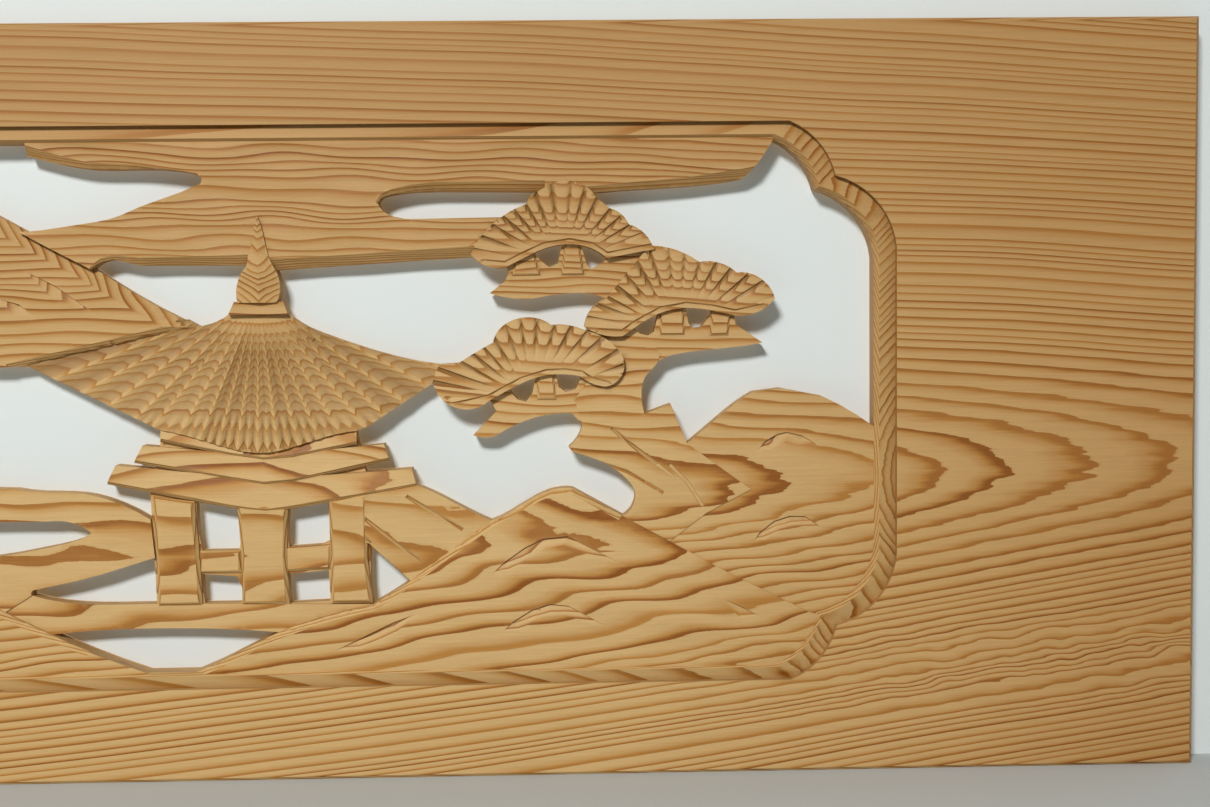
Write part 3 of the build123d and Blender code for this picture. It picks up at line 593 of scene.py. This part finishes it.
# %% [markdown]
# ## Cedar
# The rings are not painted on: they are the shells of a trunk whose heart lies behind the board. The
# material works out, for any point in the wood, how many rings lie between it and the heart. Where the
# chisel goes deeper it cuts into earlier rings, so the lines bend round every form by themselves. A wood
# picture laid over the front could not do that. A few small helpers keep the node work short.

# %% Node helpers
cedar = bpy.data.materials.new("cedar")
cedar.use_nodes = True
tree = cedar.node_tree
shader = tree.nodes["Principled BSDF"]


def node(kind, **settings):
    """A new node in the tree that is being worked on."""
    made = tree.nodes.new(kind)
    for key, value in settings.items():
        setattr(made, key, value)
    return made


def feed(socket, value):
    """Sets a number or a colour on a socket, or links an output to it."""
    if isinstance(value, (int, float, tuple)):
        socket.default_value = value
    else:
        tree.links.new(value, socket)


def math_node(operation, *values):
    """One step of arithmetic."""
    made = node("ShaderNodeMath", operation=operation)
    for socket, value in zip(made.inputs, values):
        feed(socket, value)
    return made.outputs[0]


def attribute(name):
    """A value stored on the mesh."""
    return node("ShaderNodeAttribute", attribute_name=name).outputs["Fac"]


def fade(value, start, end, at_start=0.0, at_end=1.0):
    """A value that goes evenly from one level to another between two places."""
    made = node("ShaderNodeMapRange")
    levels = {"From Min": start, "From Max": end, "To Min": at_start, "To Max": at_end}
    for socket, number in levels.items():
        made.inputs[socket].default_value = number
    tree.links.new(value, made.inputs["Value"])
    return made.outputs["Result"]


print("sockets of cedar", len(shader.inputs))

# %% Noise and colour helpers
def noise_at(vector, stretch, detail):
    """Noise with its own stretch along each axis."""
    moved = node("ShaderNodeMapping")
    moved.inputs["Scale"].default_value = stretch
    tree.links.new(vector, moved.inputs["Vector"])
    made = node("ShaderNodeTexNoise")
    made.inputs["Scale"].default_value = 1.0
    made.inputs["Detail"].default_value = detail
    tree.links.new(moved.outputs["Vector"], made.inputs["Vector"])
    return made.outputs[0]


def blend_colour(factor, first, second, mode="MIX"):
    """Two colours blended by a factor."""
    made = node("ShaderNodeMix", data_type="RGBA", blend_type=mode)
    for socket, value in zip((made.inputs[0], made.inputs[6], made.inputs[7]), (factor, first, second)):
        feed(socket, value)
    return made.outputs[2]


def ramp(factor, stops):
    """A colour ramp with the given places and colours."""
    made = node("ShaderNodeValToRGB")
    elements = made.color_ramp.elements
    for element, (position, colour) in ((elements[0], stops[0]), (elements[1], stops[-1])):
        element.position = position
        element.color = colour
    for position, colour in stops[1:-1]:
        elements.new(position).color = colour
    tree.links.new(factor, made.inputs["Fac"])
    return made.outputs["Color"]


place = node("ShaderNodeTexCoord").outputs["Object"]
print("pattern on", place.name)

# %% [markdown]
# ## Shells of the trunk
# All lengths are in millimetres here. The heart line rises slowly to the right. The distance from it,
# bent by a root so that it flattens near the heart, counts the shells upward and downward, and the depth
# in the board counts them inward. The trunk tapers, so the shells also drift along the board and close in
# pointed arches on the right.

# %% Shells
heart_height, heart_rise = 130.0, 0.05
heart_depth = 54.0
rings_a_mm, rings_gain = 0.27, 0.00008
taper_start, taper_gain = 0.006, 0.0000175
ring_thickness = 1.4
wide_share = 0.42
wide_from, wide_to = 168.0, 108.0
axes = node("ShaderNodeSeparateXYZ")
tree.links.new(place, axes.inputs[0])
along = math_node("MULTIPLY", axes.outputs["X"], 1 / MM)
inward = math_node("MULTIPLY", axes.outputs["Y"], 1 / MM)
up = math_node("MULTIPLY", axes.outputs["Z"], 1 / MM)
from_heart = math_node("SUBTRACT", up, math_node("MULTIPLY_ADD", along, heart_rise, heart_height))
bulge = math_node("SQRT", math_node("MULTIPLY_ADD", from_heart, from_heart, heart_depth ** 2))
taper = math_node("MULTIPLY", along, math_node("MULTIPLY_ADD", along, taper_gain, taper_start))
wide = math_node("MULTIPLY", attribute("wide_rings"), fade(up, wide_from, wide_to))
wide = math_node("MULTIPLY_ADD", wide, -wide_share, 1.0)
cone = math_node("MULTIPLY", bulge, math_node("MULTIPLY_ADD", along, rings_gain, rings_a_mm))
cone = math_node("MULTIPLY", cone, wide)
shells = math_node("SUBTRACT", math_node("ADD", cone, taper), math_node("DIVIDE", inward, ring_thickness))
print("nodes for the shells", len(tree.nodes))

# %% [markdown]
# ## Uneven growth
# Real shells wander. A slow noise bends them, the arches near the heart end in ragged teeth, and low on
# the right the grain flames up in a zigzag. On the thatch a few more rings are crowded in, which makes
# the rows of the roof finer. A noise over the ring count itself makes some years narrow and others wide.

# %% Slow wander
wander_size = 1.7
row_gain, row_height = 0.08, 190.0
slow = noise_at(place, stretch=(5.0, 9.0, 12.0), detail=1.0)
slow = math_node("MULTIPLY_ADD", slow, wander_size, -wander_size / 2)
thatch = attribute("thatch")
thatch_rows = math_node("MULTIPLY_ADD", up, row_gain, -row_gain * row_height)
thatch_rows = math_node("MULTIPLY", thatch, thatch_rows)
shells = math_node("ADD", math_node("ADD", shells, slow), thatch_rows)
print("nodes with slow wander", len(tree.nodes))

# %% Flames and teeth
right_from, right_to = 170.0, 420.0
flame_drop, flame_core, flame_edge = 95.0, 8.0, 26.0
flame_size, zigzag_size = 0.75, 4.0
heart_core, heart_edge, long_teeth, short_teeth = 20.0, 70.0, 0.55, 0.14
calm_from, calm_to, calm_teeth = 220.0, 120.0, 0.7
rightward = fade(along, right_from, right_to)
flame_band = math_node("ABSOLUTE", math_node("ADD", from_heart, flame_drop))
flaming = math_node("MULTIPLY", fade(flame_band, flame_core, flame_edge, flame_size, 0.0), rightward)
zigzag = math_node("SUBTRACT", noise_at(place, stretch=(48.0, 40.0, 75.0), detail=1.0), 0.5)
shells = math_node("MULTIPLY_ADD", zigzag, math_node("MULTIPLY", flaming, zigzag_size), shells)
heart_gap = math_node("ABSOLUTE", from_heart)
near_heart = fade(heart_gap, heart_core, heart_edge, long_teeth, short_teeth)
calm = math_node("MULTIPLY_ADD", fade(along, calm_from, calm_to), -calm_teeth, 1.0)
tooth_size = math_node("ADD", math_node("MULTIPLY", near_heart, calm), flaming)
ragged = math_node("SUBTRACT", noise_at(place, stretch=(24.0, 300.0, 300.0), detail=2.0), 0.5)
teeth = math_node("MULTIPLY", ragged, tooth_size)
print("nodes with teeth", len(tree.nodes))

# %% Years
growth_scale, year_spread, faintest_year = 0.17, 3.2, 0.5
growth = node("ShaderNodeTexNoise", noise_dimensions="1D")
growth.inputs["Scale"].default_value = growth_scale
growth.inputs["Detail"].default_value = 1.0
tree.links.new(shells, growth.inputs["W"])
spread = math_node("MULTIPLY_ADD", growth.outputs[0], year_spread, -year_spread / 2)
rings = math_node("ADD", spread, math_node("ADD", shells, teeth))
year = math_node("FLOOR", rings)
season = math_node("SUBTRACT", rings, year)
chance = node("ShaderNodeTexWhiteNoise", noise_dimensions="1D")
tree.links.new(year, chance.inputs["W"])
year_strength = math_node("MULTIPLY_ADD", chance.outputs["Value"], 1 - faintest_year, faintest_year)
print("nodes with years", len(tree.nodes))

# %% [markdown]
# ## Early and late wood
# Within one year the wood goes from pale early wood to a dark late line, slowly on one side and at once
# on the other. The line is a grey ramp over the season, weaker in some years, high up on the planed
# border and on the thatch. It multiplies the pale wood with a warm tint, because a plain mix to brown
# turns dull half way.

# %% Late lines
upper_from, upper_to = 150.0, 330.0
faint_share = 0.3
season_greys = ((0.0, 0.2), (0.05, 0.0), (0.45, 0.06), (0.72, 0.40), (0.88, 1.0), (1.0, 1.0))
late = ramp(season, [(position, (grey, grey, grey, 1)) for position, grey in season_greys])
worked = attribute("carved")
planed = math_node("SUBTRACT", 1.0, worked)
upper = fade(up, upper_from, upper_to)
faint_above = math_node("MULTIPLY_ADD", math_node("MULTIPLY", upper, planed), -faint_share, 1.0)
line = math_node("MULTIPLY", math_node("MULTIPLY", late, year_strength), faint_above)
line = math_node("MULTIPLY", line, math_node("MULTIPLY_ADD", thatch, -faint_share, 1.0))
print("season stops", len(season_greys))

# %% Colours of the wood
straw, honey = (0.52, 0.325, 0.122, 1), (0.61, 0.41, 0.185, 1)
amber, umber = (0.76, 0.55, 0.28, 1), (0.38, 0.17, 0.025, 1)
ripe_tint, aged_tint = (0.79, 0.70, 0.60, 1), (0.70, 0.61, 0.52, 1)
amber_place = 0.45
fibre_contrast = 0.24
fibre = noise_at(place, stretch=(30.0, 900.0, 1400.0), detail=3.0)
patch = noise_at(place, stretch=(5.0, 12.0, 12.0), detail=2.0)
early_colour = blend_colour(patch, straw, honey)
tint = ramp(line, [(0.0, (1, 1, 1, 1)), (amber_place, amber), (1.0, umber)])
ring_colour = blend_colour(1.0, early_colour, tint, "MULTIPLY")
ripe_colour = blend_colour(1.0, ring_colour, ripe_tint, "MULTIPLY")
aged_colour = blend_colour(1.0, ring_colour, aged_tint, "MULTIPLY")
toned = blend_colour(rightward, ring_colour, ripe_colour)
toned = blend_colour(upper, toned, aged_colour)
fibre_shade = math_node("MULTIPLY_ADD", fibre, fibre_contrast, 1 - fibre_contrast / 2)
fibrous = blend_colour(1.0, toned, fibre_shade, "MULTIPLY")
print("nodes with colour", len(tree.nodes))

# %% Dust and painted shade in hollows, wear and painted highlight on crests
dust_and_shade_colour, rubbed_and_highlight_colour = (0.13, 0.050, 0.006, 1), (0.64, 0.43, 0.19, 1)
dust_and_shade_strength, rub_and_highlight_strength = 0.7, 0.4
relief = attribute("hollow")
# Hollows get the dark colour for dust and painted shade; crests get the pale colour for wear and a painted
# highlight.
dust_and_shade = math_node("MULTIPLY", math_node("MAXIMUM", relief, 0.0), dust_and_shade_strength)
standing_out = math_node("MULTIPLY", relief, -1.0)
crest = math_node("MULTIPLY", math_node("MAXIMUM", standing_out, 0.0), rub_and_highlight_strength)
wood_colour = blend_colour(crest, blend_colour(dust_and_shade, fibrous, dust_and_shade_colour), rubbed_and_highlight_colour)
tree.links.new(wood_colour, shader.inputs["Base Color"])
print("nodes with dust", len(tree.nodes))

# %% [markdown]
# ## Tool marks and sheen
# The carved faces keep the small marks of the chisel, and everywhere the fibres and the hard late lines
# stand out a little. These are far below a tenth of a millimetre, so they are bump and not geometry. Bare
# cedar has a soft sheen, a little stronger on the late lines.

# %% Bump and roughness
fine_relief, mark_strength, mark_height = 0.25, 0.5, 0.0006
early_roughness, late_polish = 0.60, 0.12
cuts = noise_at(place, stretch=(90.0, 200.0, 260.0), detail=2.0)
grain = math_node("ADD", math_node("MULTIPLY", cuts, worked), math_node("MULTIPLY", fibre, fine_relief))
grain = math_node("ADD", grain, math_node("MULTIPLY", line, fine_relief))
marks = node("ShaderNodeBump")
marks.inputs["Strength"].default_value = mark_strength
marks.inputs["Distance"].default_value = mark_height
tree.links.new(grain, marks.inputs["Height"])
tree.links.new(marks.outputs["Normal"], shader.inputs["Normal"])
roughness = math_node("MULTIPLY_ADD", line, -late_polish, early_roughness)
tree.links.new(roughness, shader.inputs["Roughness"])
shader.inputs["Specular IOR Level"].default_value = 0.22
panel.data.materials.append(cedar)
print("cedar nodes", len(tree.nodes))

# %% [markdown]
# ## Hand the piece over
# The finished piece rides on the only body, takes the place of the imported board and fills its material
# slot.

# %% Piece
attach(panel, "root")
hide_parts("carved_panel")
print("piece", panel.name)

# %% [markdown]
# ## Stage
# A pale floor and a pale backdrop close behind the board let the openings read clearly. The backdrop
# shows only its front, so the board can also be looked at from behind. It would keep the lamp at the back
# off the board, so it lets shadow rays pass that start right behind the board and reach it within a few
# millimetres.

# %% Pale materials
back_gap = 0.0052


def pale_material(name, colour):
    """A plain matt paint."""
    made = bpy.data.materials.new(name)
    made.use_nodes = True
    paint = made.node_tree.nodes["Principled BSDF"]
    paint.inputs["Base Color"].default_value = colour
    paint.inputs["Roughness"].default_value = 0.9
    paint.inputs["Specular IOR Level"].default_value = 0.1
    return made


floor_paint = pale_material("pale_plain", (0.52, 0.55, 0.54, 1))
backdrop_paint = pale_material("pale_stage", (0.66, 0.70, 0.69, 1))
tree = backdrop_paint.node_tree
sheet = node("ShaderNodeNewGeometry")
ray = node("ShaderNodeLightPath")
sheet_axes = node("ShaderNodeSeparateXYZ")
tree.links.new(sheet.outputs["Position"], sheet_axes.inputs[0])
close_by = math_node("LESS_THAN", ray.outputs["Ray Length"], back_gap)
by_board = math_node("LESS_THAN", math_node("ABSOLUTE", sheet_axes.outputs["X"]), cad_high.x)
let_through = math_node("MULTIPLY", ray.outputs["Is Shadow Ray"], math_node("MULTIPLY", close_by, by_board))
switch = node("ShaderNodeMixShader")
feed(switch.inputs[0], math_node("MAXIMUM", sheet.outputs["Backfacing"], let_through))
feed(switch.inputs[1], tree.nodes["Principled BSDF"].outputs[0])
feed(switch.inputs[2], node("ShaderNodeBsdfTransparent").outputs[0])
feed(tree.nodes["Material Output"].inputs["Surface"], switch.outputs[0])
print("backdrop nodes", len(tree.nodes))

# %% Floor and backdrop
stage_size = 6.0
backdrop_place = (0, 0.0105, 1.0)
upright = (math.radians(90), 0, 0)
bpy.ops.mesh.primitive_plane_add(size=stage_size, location=(0, 0, 0))
floor = bpy.context.active_object
floor.name = "stage_floor"
floor.data.materials.append(floor_paint)
bpy.ops.mesh.primitive_plane_add(size=stage_size, location=backdrop_place, rotation=upright)
backdrop = bpy.context.active_object
backdrop.name = "stage_backdrop"
backdrop.data.materials.append(backdrop_paint)
print("stage", floor.name, backdrop.name)

# %% [markdown]
# ## Light
# One lamp in front, above and a little to the left, models the relief with short soft shadows, and a wide
# lamp behind lights the back. The room fills the shadows only a little. To the eye it is pale, so that
# the view from behind has a pale background too, and a light path node keeps that paleness off the board.

# %% Room
room_light, room_seen = 0.11, 0.75
scene = bpy.context.scene
scene.view_settings.view_transform = "Standard"
world = bpy.data.worlds.new("soft_room")
world.use_nodes = True
tree = world.node_tree
background = tree.nodes["Background"]
background.inputs["Color"].default_value = (1.0, 0.99, 0.97, 1)
ray = node("ShaderNodeLightPath")
mirrored = math_node("MAXIMUM", ray.outputs["Is Glossy Ray"], ray.outputs["Is Transmission Ray"])
seen = math_node("MAXIMUM", ray.outputs["Is Camera Ray"], mirrored)
room_level = math_node("MULTIPLY_ADD", seen, room_seen - room_light, room_light)
tree.links.new(room_level, background.inputs["Strength"])
scene.world = world
print("room nodes", len(tree.nodes))

# %% Lamps
lamp_aim = (0.0, 0.0, 0.2)


def soft_lamp(name, place, width, height, power):
    """A rectangular lamp that looks at the middle of the board."""
    bpy.ops.object.light_add(type="AREA", location=place)
    lamp = bpy.context.active_object
    lamp.name = name
    lamp.data.shape = "RECTANGLE"
    lamp.data.size = width
    lamp.data.size_y = height
    lamp.data.energy = power
    lamp.rotation_euler = (Vector(lamp_aim) - Vector(place)).to_track_quat("-Z", "Y").to_euler()
    return lamp


soft_lamp("lamp_above", (-0.5, -2.2, 1.4), width=0.45, height=0.35, power=61.0)
soft_lamp("lamp_behind", (0.0, 1.8, 1.6), width=1.2, height=1.2, power=46.0)
